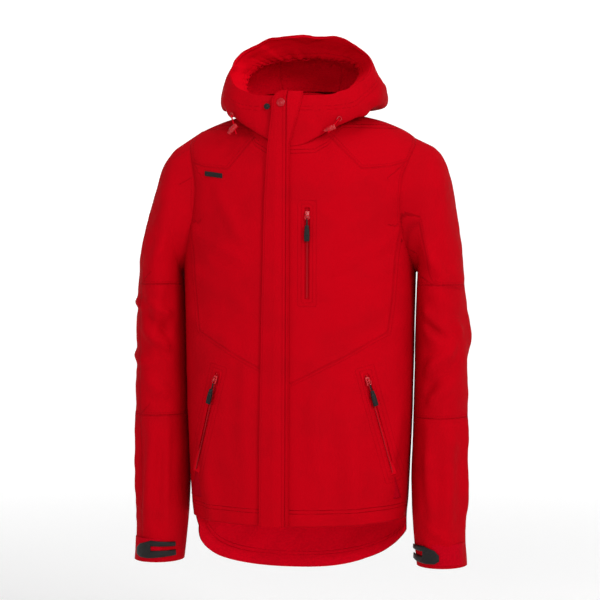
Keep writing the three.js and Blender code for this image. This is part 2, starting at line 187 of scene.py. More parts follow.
def rows_at(table, level):
    """Table rows joined by a smooth curve and read at fractional row numbers."""
    table = np.asarray(table, float)
    level = np.clip(level, 0, len(table) - 1 - 1e-9)
    row = level.astype(int)
    t = (level - row)[..., None]
    p0, p1, p2, p3 = (table[np.clip(row + step, 0, len(table) - 1)] for step in (-1, 0, 1, 2))
    return 0.5 * (2 * p1 + (p2 - p0) * t + (2 * p0 - 5 * p1 + 4 * p2 - p3) * t ** 2
                  + (3 * p1 - p0 - 3 * p2 + p3) * t ** 3)


def even(point_at, last, count=400):
    """Turns 0..1 into a level, evenly spaced along the line that point_at draws."""
    level = np.linspace(0, last, count)
    step = np.linalg.norm(np.diff(point_at(level), axis=0), axis=1)
    run = np.concatenate(([0], np.cumsum(step)))
    return lambda v: np.interp(v, run / run[-1], level)


# Half width, back depth, then the height at the front, the sides and the back.
BODY = [
    (80, 68, -58, 4, 34), (104, 82, -74, -3, 14), (142, 97, -99, -14, -16),
    (182, 111, -128, -33, -60), (200, 120, -158, -56, -100), (204, 127, -196, -100, -145),
    (202, 132, -250, -180, -215), (199, 134, -335, -290, -315), (196.5, 133, -430, -410, -420),
    (194, 131, -520, -515, -520), (190, 131, -600, -600, -610), (187, 133, -660, -657, -684),
    (184, 138, -691, -686, -803)]


# A round of cloth is a little squarer than an ellipse: its sine and cosine have this power.
BOW = 0.87


def body_point(turn, level):
    half, back, z_front, z_side, z_back = np.moveaxis(rows_at(BODY, level) * MM, -1, 0)
    c, s = np.cos(turn), np.sin(turn)
    # The hem sweeps down behind the side seams into the tail.
    tail = np.clip(level - 11, 0, 1)
    drop = np.abs(s) ** np.where(s > 0, 2 - 1.3 * tail, 2)
    z = z_side + (np.where(s > 0, z_back, z_front) - z_side) * drop
    depth = np.where(s > 0, back, -front_y(z_front))
    return np.stack((half * np.sign(c) * np.abs(c) ** BOW,
                     depth * np.sign(s) * np.abs(s) ** BOW, z), -1)


body_level = even(lambda v: body_point(np.full_like(v, -1.2), v), 12)


# The fronts stop short of the zip on each side, this far to the right of the middle.
FRONT_EDGES = 0.0066, 0.0174


def body_place(u, v):
    level = body_level(v)
    half = rows_at(BODY, level)[:, 0] * MM
    left, right = (np.arcsin((x / half) ** (1 / BOW)) for x in FRONT_EDGES)
    return body_point(-math.pi / 2 - left + u * (2 * math.pi + left - right), level)


def sheet_mesh(columns, rows, place):
    """A grid laid where place(u, v) says, for u and v from 0 to 1."""
    mesh = bmesh.new()
    bmesh.ops.create_grid(mesh, x_segments=columns, y_segments=rows, size=1)
    flat = np.array([v.co for v in mesh.verts])
    for vert, spot in zip(mesh.verts, place((flat[:, 0] + 1) / 2, (flat[:, 1] + 1) / 2)):
        vert.co = spot
    return mesh


def face_out(mesh, middle):
    """Welds a cloth and turns its right side away from an upright line."""
    bmesh.ops.remove_doubles(mesh, verts=mesh.verts, dist=2e-5)
    bmesh.ops.recalc_face_normals(mesh, faces=mesh.faces)
    out = sum((f.calc_center_median() - middle).to_2d().dot(f.normal.to_2d())
              for f in mesh.faces)
    if out < 0:
        bmesh.ops.reverse_faces(mesh, faces=mesh.faces)
    mesh.normal_update()


def face_front(mesh):
    """Turns a cloth's right side to the front."""
    bmesh.ops.recalc_face_normals(mesh, faces=mesh.faces)
    if sum(f.normal.y for f in mesh.faces) > 0:
        bmesh.ops.reverse_faces(mesh, faces=mesh.faces)


def faces_at(mesh, wanted):
    """The faces whose middles are at a wanted place."""
    return [f for f in mesh.faces if wanted(f.calc_center_median())]


def crease_cut(mesh, near, point, normal):
    """Cuts new edges where a plane meets the faces near by, and leaves the rest alone."""
    parts = {*near, *(e for f in near for e in f.edges), *(v for f in near for v in f.verts)}
    bmesh.ops.bisect_plane(mesh, geom=list(parts), plane_co=point, plane_no=normal)


def crumple(mesh, folds, size, depth, seed, keep):
    """Pushes a cloth out along folds, each from one point to another, and by slow waves."""
    at = np.array([v.co for v in mesh.verts])
    rise = np.array([depth * noise.fractal(v.co / size + Vector((seed, 0, 0)), 0.9, 2, 3)
                     for v in mesh.verts])
    for start, end, width, height in folds:
        start, end = np.array(start) * MM, np.array(end) * MM
        t = np.clip((at - start) @ (end - start) / ((end - start) @ (end - start)), 0, 1)
        off = np.linalg.norm(at - start - t[:, None] * (end - start), axis=1) / (width * MM)
        fade = np.sin(np.pi * (0.12 + 0.76 * t))
        rise += 2.2 * height * MM * fade * (np.exp(-off ** 2) - 0.45 * np.exp(-(off / 2.1) ** 2))
    for vert, by in zip(mesh.verts, rise * keep(at)):
        vert.co += vert.normal * by
    mesh.normal_update()


def smooth_path(path, steps=8):
    return rows_at(path, np.linspace(0, len(path) - 1, steps * (len(path) - 1) + 1)) * MM


def off_path(a, b, path):
    """How far along a path, and how far to its left, the points (a, b) in its plane are."""
    best, run, side, start = np.full(a.shape, 1.0), np.zeros(a.shape), np.ones(a.shape), 0.0
    for index, (p, q) in enumerate(zip(path, path[1:])):
        step = q - p
        length = math.hypot(*step)
        t = ((a - p[0]) * step[0] + (b - p[1]) * step[1]) / length
        hold = np.clip(t, 0, length)
        off = np.hypot(a - p[0] - step[0] * hold / length, b - p[1] - step[1] * hold / length)
        past = ((index == 0) & (t < 0)) | ((index == len(path) - 2) & (t > length))
        closer = (off < best) & ~past
        best = np.where(closer, off, best)
        run = np.where(closer, start + t, run)
        side = np.where(closer, np.sign(step[0] * (b - p[1]) - step[1] * (a - p[0])), side)
        start += length
    return np.stack((run, best * np.where(side == 0, 1, side)))


def vertices(piece):
    """Where a cloth's vertices were cut, before it settled."""
    at = np.empty(len(piece.data.vertices) * 3)
    piece.data.attributes["rest"].data.foreach_get("vector", at)
    return at.reshape(-1, 3)


def shoulder_lean(z):
    return np.interp(z, (-0.21, -0.12), (0, 0.0065))


def settled(at):
    """The jacket hangs a little to its left at the shoulders and hood, its tail to the right."""
    x, y, z = at.T
    high = np.clip((z - 0.02) / 0.06, 0, 1)
    wide = np.maximum(np.clip((np.abs(x) - 0.06) / 0.08, 0, 1), high)
    tail = np.interp(z, (-0.78, -0.715), (-0.03, 0)) * ((y > 0) & (np.abs(x) < 0.19))
    shift = shoulder_lean(z) * wide + tail + high * (0.004 - 0.055 * x)
    return np.stack((x + shift, y, z), -1)


def mark(piece, name, *lines):
    """Notes at every vertex how far along and off the nearest of some lines it is."""
    lines = np.array(lines)
    near = np.abs(lines[:, 1]).argmin(0)
    run, off = lines[near, :, np.arange(lines.shape[2])].T
    field = np.stack((run, off, np.abs(off)), -1)
    layer = piece.data.attributes.new(name, "FLOAT_VECTOR", "POINT")
    layer.data.foreach_set("vector", field.ravel())


def cloth_piece(name, mesh, thickness, *materials):
    """A finished cloth: its wrong side and its cut edge are made by the thickness."""
    data = bpy.data.meshes.new(name)
    mesh.to_mesh(data)
    for m in materials:
        data.materials.append(m)
    data.shade_smooth()
    piece = bpy.data.objects.new(name, data)
    scene.collection.objects.link(piece)
    at = np.array([v.co for v in data.vertices])
    rest = data.attributes.new("rest", "FLOAT_VECTOR", "POINT")
    rest.data.foreach_set("vector", at.ravel())
    data.vertices.foreach_set("co", settled(at).ravel())
    if thickness:
        wall = piece.modifiers.new("cloth", "SOLIDIFY")
        wall.thickness = thickness
        wall.offset = -1
        wall.use_even_offset = False
        if len(materials) > 1:
            wall.material_offset = 1
    return piece


def belongs(piece, body_name, slot, *nodes):
    """Says what a piece moves with and which plain nodes it stands for; its slot, a finish, is not
    used.
    """
    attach(piece, body_name)
    if nodes:
        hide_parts(*nodes)


def field(s, name):
    """How far along, how far off and how near the lines kept under a name are."""
    at = s.node("ShaderNodeAttribute", out=1, attribute_name=name)
    return [s.node("ShaderNodeSeparateXYZ", {"Vector": at}, out=k) for k in range(3)]


def thread(s, name, rows, pitch=0.0034):
    """Rows of stitches at some distances off the lines kept under a name."""
    run, off, near = field(s, name)
    dash = (run * (2 * math.pi / pitch)).math("SINE").ramp(-0.7, 0.1)
    rows_of = sum(((off - row).math("ABSOLUTE").ramp(0.00035, 0.0008, 1, 0) for row in rows), 0)
    return rows_of * dash * near.ramp(0.02, 0.022, 1, 0)


def cloth_material(name, colour, seams=(), stitches=(), fleece=0.0, sheen=0.02):
    """Woven or brushed cloth with pressed seams darkened as painted shade, and rows of thread."""
    made, shader, s = material(name, colour, 0.78, Sheen_Weight=sheen, Sheen_Roughness=0.4,
                               Sheen_Tint=(*colour, 1), Specular_IOR_Level=0.02)
    rest = s.node("ShaderNodeAttribute", out=1, attribute_name="rest")
    weave = s.node("ShaderNodeTexNoise", {"Vector": rest, "Scale": 1400.0, "Detail": 2.0})
    patch = s.node("ShaderNodeTexNoise", {"Vector": rest, "Scale": 18.0, "Detail": 3.0})
    height = weave * 0.05
    shade = patch.ramp(0.3, 0.7, 0.93, 1.04)
    if fleece:
        pile = s.node("ShaderNodeTexNoise", {"Vector": rest, "Scale": 320.0, "Detail": 4.0})
        height = height + pile * fleece
        shade = shade * pile.ramp(0.3, 0.75, 0.88, 1.06)
    for seam, rows in seams:
        run, off, near = field(s, seam)
        pressed = off.math("ABSOLUTE").ramp(0.0, 0.0032, 1, 0) * near.ramp(0.02, 0.022, 1, 0)
        pucker = s.node("ShaderNodeTexNoise", {"Vector": rest, "Scale": 160.0, "Detail": 1.0})
        beside = off.math("ABSOLUTE").ramp(0.001, 0.008, 1, 0) * near.ramp(0.02, 0.022, 1, 0)
        height = height - pressed * 0.6 + beside * pucker * 0.8
        # The seam's groove is darkened in the base colour too: painted shade.
        shade = shade * (1 - pressed * 0.16)
        stitches = (*stitches, (seam, rows)) if rows else stitches
    for line, rows in stitches:
        sewn = thread(s, line, rows)
        height = height + sewn * 0.25
        shade = shade * (1 - sewn * 0.2)
    bump = s.node("ShaderNodeBump", {"Height": height, "Strength": 1.0, "Distance": 0.001})
    feed(bump, shader, "Normal")
    feed(shade.mix((0, 0, 0, 1), (*colour, 1)), shader, "Base Color")
    feed(patch.ramp(0.3, 0.7, 0.74, 0.84), shader, "Roughness")
    return made


RED = (0.35, 0.0, 0.004)
body_cloth = cloth_material("body cloth", RED, seams=(("seam", (0.0045,)),),
                            stitches=(("stitch", (0.0, 0.006)),))
# The brushed lining's red is much lighter than the shell's: painted light on the shaded inside of the
# jacket and hood.
lining = cloth_material("brushed lining", (0.6, 0.0, 0.009), fleece=0.25, sheen=0.05,
                        stitches=(("stitch", (0.0, 0.006)),))

body = sheet_mesh(250, 180, body_place)
face_out(body, Vector((0, 0, 0)))
body_folds = [
    ((70, -112, -262), (172, -62, -205), 13, 4.0), ((60, -112, -300), (176, -60, -250), 15, 3.4),
    ((-75, -112, -250), (-170, -66, -196), 13, 4.2), ((-58, -114, -330), (-178, -60, -262), 16, 4.8),
    ((-90, -108, -395), (-184, -48, -330), 15, 4.6), ((-196, -20, -440), (-120, -92, -420), 12, 3.4),
    ((-190, -20, -500), (-118, -100, -470), 14, 3.8), ((92, -108, -410), (182, -50, -345), 15, 3.8),
    ((-66, -124, -400), (-78, -130, -560), 18, 3.6), ((-150, -86, -560), (-138, -104, -700), 18, 4.6),
    ((96, -112, -520), (112, -118, -705), 22, 4.6), ((34, -126, -420), (48, -132, -640), 22, 3.0),
    ((176, -52, -480), (160, -84, -640), 18, 3.6), ((0, 128, -240), (-40, 132, -640), 30, 4.4),
    ((90, 110, -200), (150, 90, -330), 20, 4.4), ((-90, 110, -200), (-150, 90, -330), 20, 4.4),
    ((60, 124, -500), (90, 124, -740), 24, 4.4), ((-110, 112, -460), (-90, 124, -740), 24, 4.4),
    ((-130, -90, -130), (-84, -112, -210), 14, 3.0), ((-62, -118, -540), (-66, -130, -690), 20, 3.4)]


def body_keep(at):
    """The cloth lies flat under the zip and the flap, and at the neck and the underarms."""
    flap = np.clip((np.abs(at[:, 0] + 0.022) - 0.034) / 0.03, 0, 1) + (at[:, 1] > 0)
    side = np.clip((0.2 - np.abs(at[:, 0])) / 0.03, 0.15, 1)
    neck = np.clip((-0.03 - at[:, 2]) / 0.05, 0, 1)
    return np.clip(flap, 0, 1) * side * neck


crumple(body, body_folds, 0.085, 0.0022, 3.0, body_keep)

# Zipped pockets: the top of the zip, its length and how far it leans out below.
POCKETS = {"chest": (29, -166, 140, 0.0), "hand_L": (127, -442, 165, 0.25),
           "hand_R": (-127, -442, 165, -0.25)}


def pocket_plane(at, name):
    """Distance across and down a pocket's zip, in the front view."""
    x, z, length, lean = POCKETS[name]
    a, b = at[..., 0] - x * MM, at[..., 2] - z * MM
    return (a * math.cos(lean) + b * math.sin(lean), a * math.sin(lean) - b * math.cos(lean),
            length * MM)


# The windows that the pocket zips show through are cut square.
WINDOW_HALF, WINDOW_PAST = 0.0038, 0.006
for name, (x, z, length, lean) in POCKETS.items():
    down, across = (Vector((math.sin(lean), 0, -math.cos(lean))),
                    Vector((math.cos(lean), 0, math.sin(lean))))
    top = Vector((x, 0, z)) * MM
    end = top + down * length * MM

    def in_window(p, wide, past):
        run = (p - top).dot(down)
        return p.y < -0.02 and abs((p - top).dot(across)) < wide and -past < run < length * MM + past

    for point, normal in ((top + across * WINDOW_HALF, across), (top - across * WINDOW_HALF, across),
                          (top - down * WINDOW_PAST, down), (end + down * WINDOW_PAST, down)):
        crease_cut(body, faces_at(body, lambda p: in_window(p, 0.016, 0.02)), point, normal)
    inside = faces_at(body, lambda p: in_window(p, WINDOW_HALF - 0.0001, WINDOW_PAST - 0.0001))
    bmesh.ops.delete(body, geom=inside, context="FACES")

# The armholes open into the sleeves.
holes = faces_at(body, lambda p: abs(p.x) > 0.15
                 and math.hypot((p.y - 0.008) / 0.062, (p.z + 0.15) / 0.085) < 1)
bmesh.ops.delete(body, geom=holes, context="FACES")

# ---------------------------------------------------------------------------------------
# Sleeves: each a tube in three lengths, with a shaped elbow between two cross seams. The
# upper length starts inside the armhole, in a tight upright ring of cloth; the lower length
# rides on the forearm.
# Outer point (x, z), inner point (x, z), half depth, middle y.
SLEEVE = [
    (170, -27, 170, -253, 80, 8), (203, -45, 199, -265, 83, 8), (227, -61, 203, -272, 84, 8),
    (243, -85, 202.5, -279, 84, 9), (255, -124, 201.5, -288, 83, 10),
    (266, -168, 200.6, -302, 81, 10), (275, -216, 199.6, -322, 79, 11),
    (282, -270, 198.8, -348, 76, 12),
    (287, -340, 198, -386, 73, 12), (289, -420, 197, -440, 70, 11), (289, -520, 195.4, -525, 66, 7),
    (288, -620, 192.8, -620, 61, 1), (286, -700, 196, -700, 57, -4), (289, -768, 203, -768, 53, -7)]
ELBOW_TOP, ELBOW_END = -0.290, -0.515
ARMHOLE = 0.170


def sleeve_point(turn, level):
    out_x, out_z, in_x, in_z, depth, y = np.moveaxis(rows_at(SLEEVE, level) * MM, -1, 0)
    c, s = np.cos(turn), np.sin(turn)
    return np.stack((((out_x + in_x) + (out_x - in_x) * c) / 2, y + depth * s,
                     ((out_z + in_z) + (out_z - in_z) * c) / 2), -1)


sleeve_level = even(lambda v: sleeve_point(np.full_like(v, 0.3), v), 13)


def sleeve_place(u, v):
    return sleeve_point(np.pi + u * 2 * np.pi, np.where(v < 0.07, v * 0.9, sleeve_level(v)))


sleeve_cloth = cloth_material("sleeve cloth", RED, seams=(("seam", (0.0045,)),),
                              stitches=(("stitch", (0.0, 0.006)),))
# Folds behind both elbows, then those of the left sleeve and of the right one, drawn as if
# it were the left.
ELBOW_BACK = [((206, 60, -330), (280, 50, -350), 11, 4.2), ((206, 66, -370), (280, 56, -392), 12, -3.6),
              ((210, 68, -410), (284, 48, -430), 12, 3.8), ((246, 60, -520), (248, 52, -720), 18, 4.0)]
SLEEVE_FOLDS = {
    "L": [((204, -58, -326), (287, -30, -372), 11, 5.0), ((206, -58, -350), (262, -62, -382), 8, -4.4),
          ((206, -58, -448), (276, -52, -388), 11, 5.2), ((210, -58, -476), (280, -48, -418), 10, -3.4),
          ((206, -62, -500), (262, -58, -462), 12, 3.0), ((212, -70, -238), (262, -66, -280), 14, 3.2),
          ((206, -66, -205), (238, -74, -262), 12, 2.8), ((276, 10, -330), (288, 20, -400), 14, 3.6),
          ((222, -56, -530), (232, -56, -690), 13, 3.8), ((262, -50, -540), (256, -54, -720), 15, 4.4),
          ((286, -10, -520), (284, -14, -700), 15, 3.8), ((210, 40, -560), (214, 44, -740), 16, 3.4),
          ((226, -60, -700), (262, -56, -724), 9, 2.4)],
    "R": [((252, -60, -322), (204, -52, -350), 10, 5.0), ((264, -58, -342), (204, -54, -380), 9, -5.0),
          ((268, -56, -368), (204, -56, -408), 11, 5.2), ((290, 0, -318), (262, -54, -330), 9, 4.6),
          ((290, 0, -412), (258, -54, -424), 10, 5.0), ((262, -60, -452), (206, -54, -486), 12, 3.2),
          ((208, -74, -190), (246, -72, -260), 14, 3.4), ((232, -68, -300), (248, -64, -420), 13, 2.4),
          ((218, -56, -520), (224, -58, -700), 12, 4.4), ((248, -58, -540), (258, -54, -700), 14, 4.8),
          ((280, -28, -520), (276, -30, -690), 14, 4.2), ((206, 30, -560), (212, 40, -740), 16, 3.4)]}


# The seam down the front of each sleeve, in the front view.
SLEEVE_SEAMS = {"L": [(197, -155), (209, -184), (222, -238), (234, -284), (282, -297)],
                "R": [(232, -84), (252, -150), (265, -230), (270, -290), (273, -400), (271, -520),
                      (268, -660), (270, -768)]}


def sleeve_keep(at):
    """The cloth is calm at the shoulder, along the body's side and at the cuff."""
    shoulder = np.clip((at[:, 0] - 0.205) / 0.035, 0, 1)
    low = np.clip((-0.27 - at[:, 2]) / 0.03, 0, 1)
    inner = np.clip((at[:, 0] - 0.206) / 0.016, 0.12, 1)
    return np.maximum(shoulder, low) * inner * np.clip((0.772 + at[:, 2]) / 0.05, 0.25, 1)


def flipped(mesh):
    """Turns a mesh of the wearer's left side into one for the right."""
    bmesh.ops.transform(mesh, matrix=Matrix.Diagonal((-1, 1, 1, 1)), verts=mesh.verts)
    bmesh.ops.reverse_faces(mesh, faces=mesh.faces)
    mesh.normal_update()


body_tree = BVHTree.FromBMesh(body)
sleeve_trees = {}
for side, seed in (("L", 11.0), ("R", 23.0)):
    whole = sheet_mesh(120, 215, sleeve_place)
    face_out(whole, Vector((0.24, 0, 0)))
    crumple(whole, ELBOW_BACK + SLEEVE_FOLDS[side], 0.07, 0.0030, seed, sleeve_keep)
    if side == "R":
        flipped(whole)
    for vert in whole.verts:
        # The first rows stay upright when the shoulder settles.
        if abs(vert.co.x) < ARMHOLE + 0.0016:
            vert.co.x -= shoulder_lean(vert.co.z)
    sleeve_trees[side] = BVHTree.FromBMesh(whole)
    for name, top, end in (("upper", None, ELBOW_TOP), ("elbow", ELBOW_TOP, ELBOW_END),
                           ("lower", ELBOW_END, None)):
        part = whole.copy()
        for height, up in ((top, 1), (end, -1)):
            if height is not None:
                bmesh.ops.bisect_plane(part, geom=[*part.verts, *part.edges, *part.faces],
                                       plane_co=(0, 0, height), plane_no=(0, 0, up),
                                       clear_outer=True)
        part.normal_update()
        piece = cloth_piece(f"sleeve_{name}_{side}_cloth", part, 0.0022, sleeve_cloth, lining)
        part.free()
        at = vertices(piece)
        run = np.arctan2(at[:, 1] - 0.01, np.abs(at[:, 0]) - 0.243) * 0.055
        seams = [np.stack((run, at[:, 2] - height)) for height in (ELBOW_TOP, ELBOW_END)]
        far = np.full(len(at), 1.0)
        if name == "upper":
            found = [body_tree.find_nearest(Vector(p)) for p in at]
            seams.append(np.stack((at[:, 2], np.array([f[3] for f in found]))))
        front_seam = off_path(np.abs(at[:, 0]), at[:, 2], smooth_path(SLEEVE_SEAMS[side]))
        seams.append(np.where(at[:, 1] < 0, front_seam, 1.0))
        mark(piece, "seam", *seams)
        mark(piece, "stitch", np.stack((run, np.where(at[:, 2] < -0.7, at[:, 2] + 0.748, far))))
        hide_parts(f"sleeve_{name}_{side}")
        hand = 1 if side == "L" else -1
        if name == "upper":
            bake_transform(piece)
        elif name == "elbow":
            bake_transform(piece)
        else:
            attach(piece, f"forearm_{side}")
    whole.free()

body.normal_update()
body_piece = cloth_piece("body_cloth", body, 0.0024, body_cloth, lining)
at = vertices(body_piece)
front = at[:, 1] < 0.006
spread = np.abs(at[:, 0])
yoke_seam = np.array([(61, -38), (113, -95), (158, -91), (206, -75)]) * MM
side_seam = np.array([(197, -150), (181, -180), (172, -240), (166, -320), (160, -368), (128, -386),
                      (92, -407), (0, -453)]) * MM
armhole = np.full(len(at), 1.0)
for k, p in enumerate(at):
    if 0.14 < abs(p[0]) and -0.3 < p[2]:
        armhole[k] = sleeve_trees["L" if p[0] > 0 else "R"].find_nearest(Vector(p))[3]
flank = np.where((spread > 0.15) & (at[:, 2] < -0.27), at[:, 1] - 0.008, 1.0)
mark(body_piece, "seam",
     np.where(front, off_path(spread, at[:, 2], yoke_seam), 1.0),
     np.where(front, off_path(spread, at[:, 2], side_seam), 1.0),
     np.stack((at[:, 2], armhole)), np.stack((at[:, 2], flank)))
# Stitched lines: round the neck, above the hem, and round each pocket's window.
turn = np.unwrap(np.arctan2(at[:, 1], at[:, 0])) * 0.16
hem_front = -0.691 + 0.004 * np.clip(spread / 0.18, 0, 1) ** 2
arc = np.sqrt(1 - np.clip(spread / 0.1835, 0, 0.999) ** 2.3)
hem_back = -0.686 - 0.117 * arc ** 0.7
hem = np.where(at[:, 1] < 0, hem_front, hem_back) + 0.022
neck = np.where(front, np.interp(spread, (0, 0.04, 0.062, 0.08), (-0.064, -0.063, -0.05, -0.02)), 1)
lines = [np.stack((turn, at[:, 2] - hem)), np.stack((turn, np.where(front, neck - at[:, 2], 1.0)))]
for name in POCKETS:
    across, down, length = pocket_plane(at, name)
    square = np.maximum(np.abs(across) - 0.0095, np.abs(down - length / 2) - length / 2 - 0.012)
    lines.append(np.stack((across + down, np.where(front, square, 1.0))))
mark(body_piece, "stitch", *lines)
belongs(body_piece, "jacket", "red_softshell", "yoke_L", "yoke_R", "chest_L", "chest_R",
        "side_L", "side_R", "back")

# ---------------------------------------------------------------------------------------
# Collar and hood: one deep hood sewn to the neckline, standing up round the face, with a
# rim that runs from the collar's front over the crown and a side seam behind it.
# Half width, front, back, middle, then the height at the front, the sides and the back.
HOOD = [
    (80, -118.9, 68, 0, -57.5, 4.5, 34.5), (112, -118.6, 94, 4, -46, 5, 34),
    (137, -118.2, 122, 8, -28, 11, 37), (145, -117.7, 142, 6, -8, 24, 44),
    (142, -117, 152, -10, 22, 42, 50), (135, -112, 152, -36, 46, 60, 57),
    (127, -102, 142, -50, 68, 79, 68), (118, -86, 128, -48, 94, 98, 78),
    (97, -64, 108, -30, 116, 114, 88), (66, -42, 84, -14, 132, 128, 100),
    (30, -24, 54, 0, 139, 133, 112), (0.4, 13.6, 14.4, 14, 125, 125, 125)]


def hood_point(turn, level):
    half, front, back, middle, *z = np.moveaxis(rows_at(HOOD, level) * MM, -1, 0)
    c, s = np.cos(turn), np.sin(turn)
    # The back is pointed where the hood sinks behind its rim.
    bow = BOW + np.where(s > 0, 0.03 * np.clip(level - 3, 0, 7), -0.012 * level)
    reach = np.where(s > 0, back - middle, middle - front)
    height = z[1] + (np.where(s > 0, z[2], z[0]) - z[1]) * s ** 2
    return np.stack((half * np.sign(c) * np.abs(c) ** bow,
                     middle + reach * np.sign(s) * np.abs(s) ** bow, height), -1)


hood_level = even(lambda v: hood_point(np.full_like(v, 0.4), v), 11)


COLLAR_EDGES = 0.008, 0.016


def hood_place(u, v):
    level = hood_level(v)
    slit = np.where(level < 4.6, 1.0, 0.0)
    left, right = (np.arcsin((x / 0.12) ** (1 / BOW)) * slit for x in COLLAR_EDGES)
    return hood_point(-math.pi / 2 - left + u * (2 * math.pi + left - right), level)


def cut_away(mesh, outline, region):
    """Trims a cloth along a line in the side view, then drops what lies beyond it."""
    for p, q in zip(outline, outline[1:]):
        low, high = np.minimum(p, q) - 0.007, np.maximum(p, q) + 0.007
        near = faces_at(mesh, lambda m: low[0] < m.y < high[0] and low[1] < m.z < high[1])
        crease_cut(mesh, near, (0, *p), (0, p[1] - q[1], q[0] - p[0]))
    bmesh.ops.delete(mesh, geom=faces_at(mesh, region), context="FACES")


# The rim in the side view (y, z), from the collar's front to the crown.
rim = smooth_path([(-150, 26), (-118, 26), (-107, 31), (-90, 46), (-62, 75), (-35, 96), (-19, 118),
                   (-10, 146)], 4)


def before_rim(p):
    """Whether a point lies in the face opening, above and before the rim."""
    return p.z >= rim[0][1] and p.y < np.interp(p.z, rim[:, 1], rim[:, 0])


hood = sheet_mesh(230, 120, hood_place)
face_out(hood, Vector((0, 0.02, 0)))
hood_folds = [
    ((118, -66, 26), (140, 20, 6), 10, 3.6), ((126, -48, 48), (146, 30, 40), 13, 3.0),
    ((96, -92, 10), (130, -40, -16), 9, 3.0), ((120, -60, -8), (120, 40, -2), 10, 2.4),
    ((-112, -72, 30), (-142, 10, 2), 10, 4.0), ((-128, -44, 58), (-146, 30, 34), 12, 3.2),
    ((-92, -94, 8), (-134, -30, -10), 9, 3.4), ((-132, 10, 84), (-140, 70, 40), 14, 2.6),
    ((60, -20, 128), (100, 60, 110), 20, 2.2), ((-50, -16, 130), (-110, 60, 104), 20, 2.4),
    ((110, 90, 20), (-30, 150, 30), 12, 3.4), ((-120, 90, 24), (40, 156, 40), 12, 2.6),
    ((100, 120, 90), (20, 164, 60), 18, 2.6), ((-100, 124, 70), (-10, 164, 90), 18, 2.4)]


def hood_keep(at):
    """The cloth is held at the neckline and along the front of the collar."""
    neck = np.clip((at[:, 2] - np.where(at[:, 1] < 0, -0.05, 0.0)) / 0.03, 0.1, 1)
    return neck * np.clip((np.abs(at[:, 0] + 0.02) - 0.036) / 0.02 + (at[:, 1] > -0.05), 0, 1)


crumple(hood, hood_folds, 0.06, 0.0032, 31.0, hood_keep)
cut_away(hood, rim, before_rim)
neck_in = faces_at(hood, lambda p: p.z < 0
                   and math.hypot(p.x / 0.078, p.y / (0.11 if p.y < 0 else 0.064)) < 1)
bmesh.ops.delete(hood, geom=neck_in, context="FACES")
hood.normal_update()
hood_cloth = cloth_material("hood cloth", RED, seams=(("seam", (0.005,)),),
                            stitches=(("stitch", (0.0, 0.006)),))
hood_piece = cloth_piece("hood_cloth", hood, 0.0024, hood_cloth, lining)
at = vertices(hood_piece)
side_line = smooth_path([(-66, -24), (-20, 14), (40, 58), (60, 92), (70, 150)])
from_rim = off_path(at[:, 1], at[:, 2], rim)
mark(hood_piece, "seam", off_path(at[:, 1], at[:, 2], side_line))
mark(hood_piece, "stitch", np.stack((from_rim[0], np.abs(from_rim[1]) - 0.018)),
     np.stack((at[:, 0], np.where(at[:, 1] < 0, 1.0, at[:, 2] - 0.04))))
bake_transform(hood_piece)
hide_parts("collar", "hood_front", "hood_back")

# ---------------------------------------------------------------------------------------
# Hood lining: a smooth facing runs in from the rim to a gathered elastic seam, and a
# brushed lining in three panels sinks from there to the back of the neck.
hood_tree = BVHTree.FromBMesh(hood)
right_rim = []
for y, z in rim[5:25]:
    found = hood_tree.ray_cast(Vector((0, y + 0.0015, z)), Vector((-1, 0, 0)))[0]
    if found and 0.03 < z < 0.121:
        right_rim.append((found.x, found.y, found.z))
crown = []
for x in (-0.078, -0.052, -0.026, 0.0):
    found = hood_tree.ray_cast(Vector((x, -0.0125, 0.06)), Vector((0, 0, 1)))[0]
    if found:
        crown.append((found.x, found.y, found.z))


def mirrored(half):
    """A line across the hood, from its half on the wearer's right."""
    return np.array(half + [(-x, y, z) for x, y, z in half[-2::-1]])


RIM_LINE = mirrored(right_rim + crown) / MM
GATHER = mirrored([(-80, -72, 32), (-94, -36, 50), (-97, 0, 70), (-84, 22, 86), (-50, 33, 95),
                   (0, 37, 98)])
NAPE = mirrored([(-86, -50, 16), (-98, 0, 24), (-104, 46, 30), (-88, 84, 38), (-50, 104, 44),
                 (0, 110, 46)])


def along(points, t):
    return rows_at(points, t * (len(points) - 1)) * MM


def between(first, last, bulge, gather_at, seed):
    """Cloth from one line to another, bulging out, and gathered along one of them."""
    def place(u, v):
        p = along(first, u) * (1 - v[:, None]) + along(last, u) * v[:, None]
        outward = p - np.array((0, 0.01, 0.03))
        outward /= np.linalg.norm(outward, axis=1)[:, None]
        near = np.clip(1 - np.abs(v - gather_at) / 0.6, 0, 1) ** 1.6
        wave = np.array([noise.noise(Vector((a * 46, b * 1.1, seed))) for a, b in zip(u, v)])
        slow = np.array([noise.noise(Vector((a * 9, b * 2.4, seed + 5))) for a, b in zip(u, v)])
        push = bulge * np.sin(np.pi * v) + 0.0042 * near * wave + 0.005 * slow * np.sin(np.pi * v)
        p = p + outward * push[:, None]
        for k in range(len(p)):
            spot, normal, _, _ = hood_tree.find_nearest(Vector(p[k]))
            inside = (spot - Vector(p[k])).dot(normal)
            if inside < 0.0036 and (spot - Vector(p[k])).length < 0.03:
                p[k] = spot - normal * (0.0026 if v[k] < 0.02 and gather_at else 0.0036)
        return p
    return place
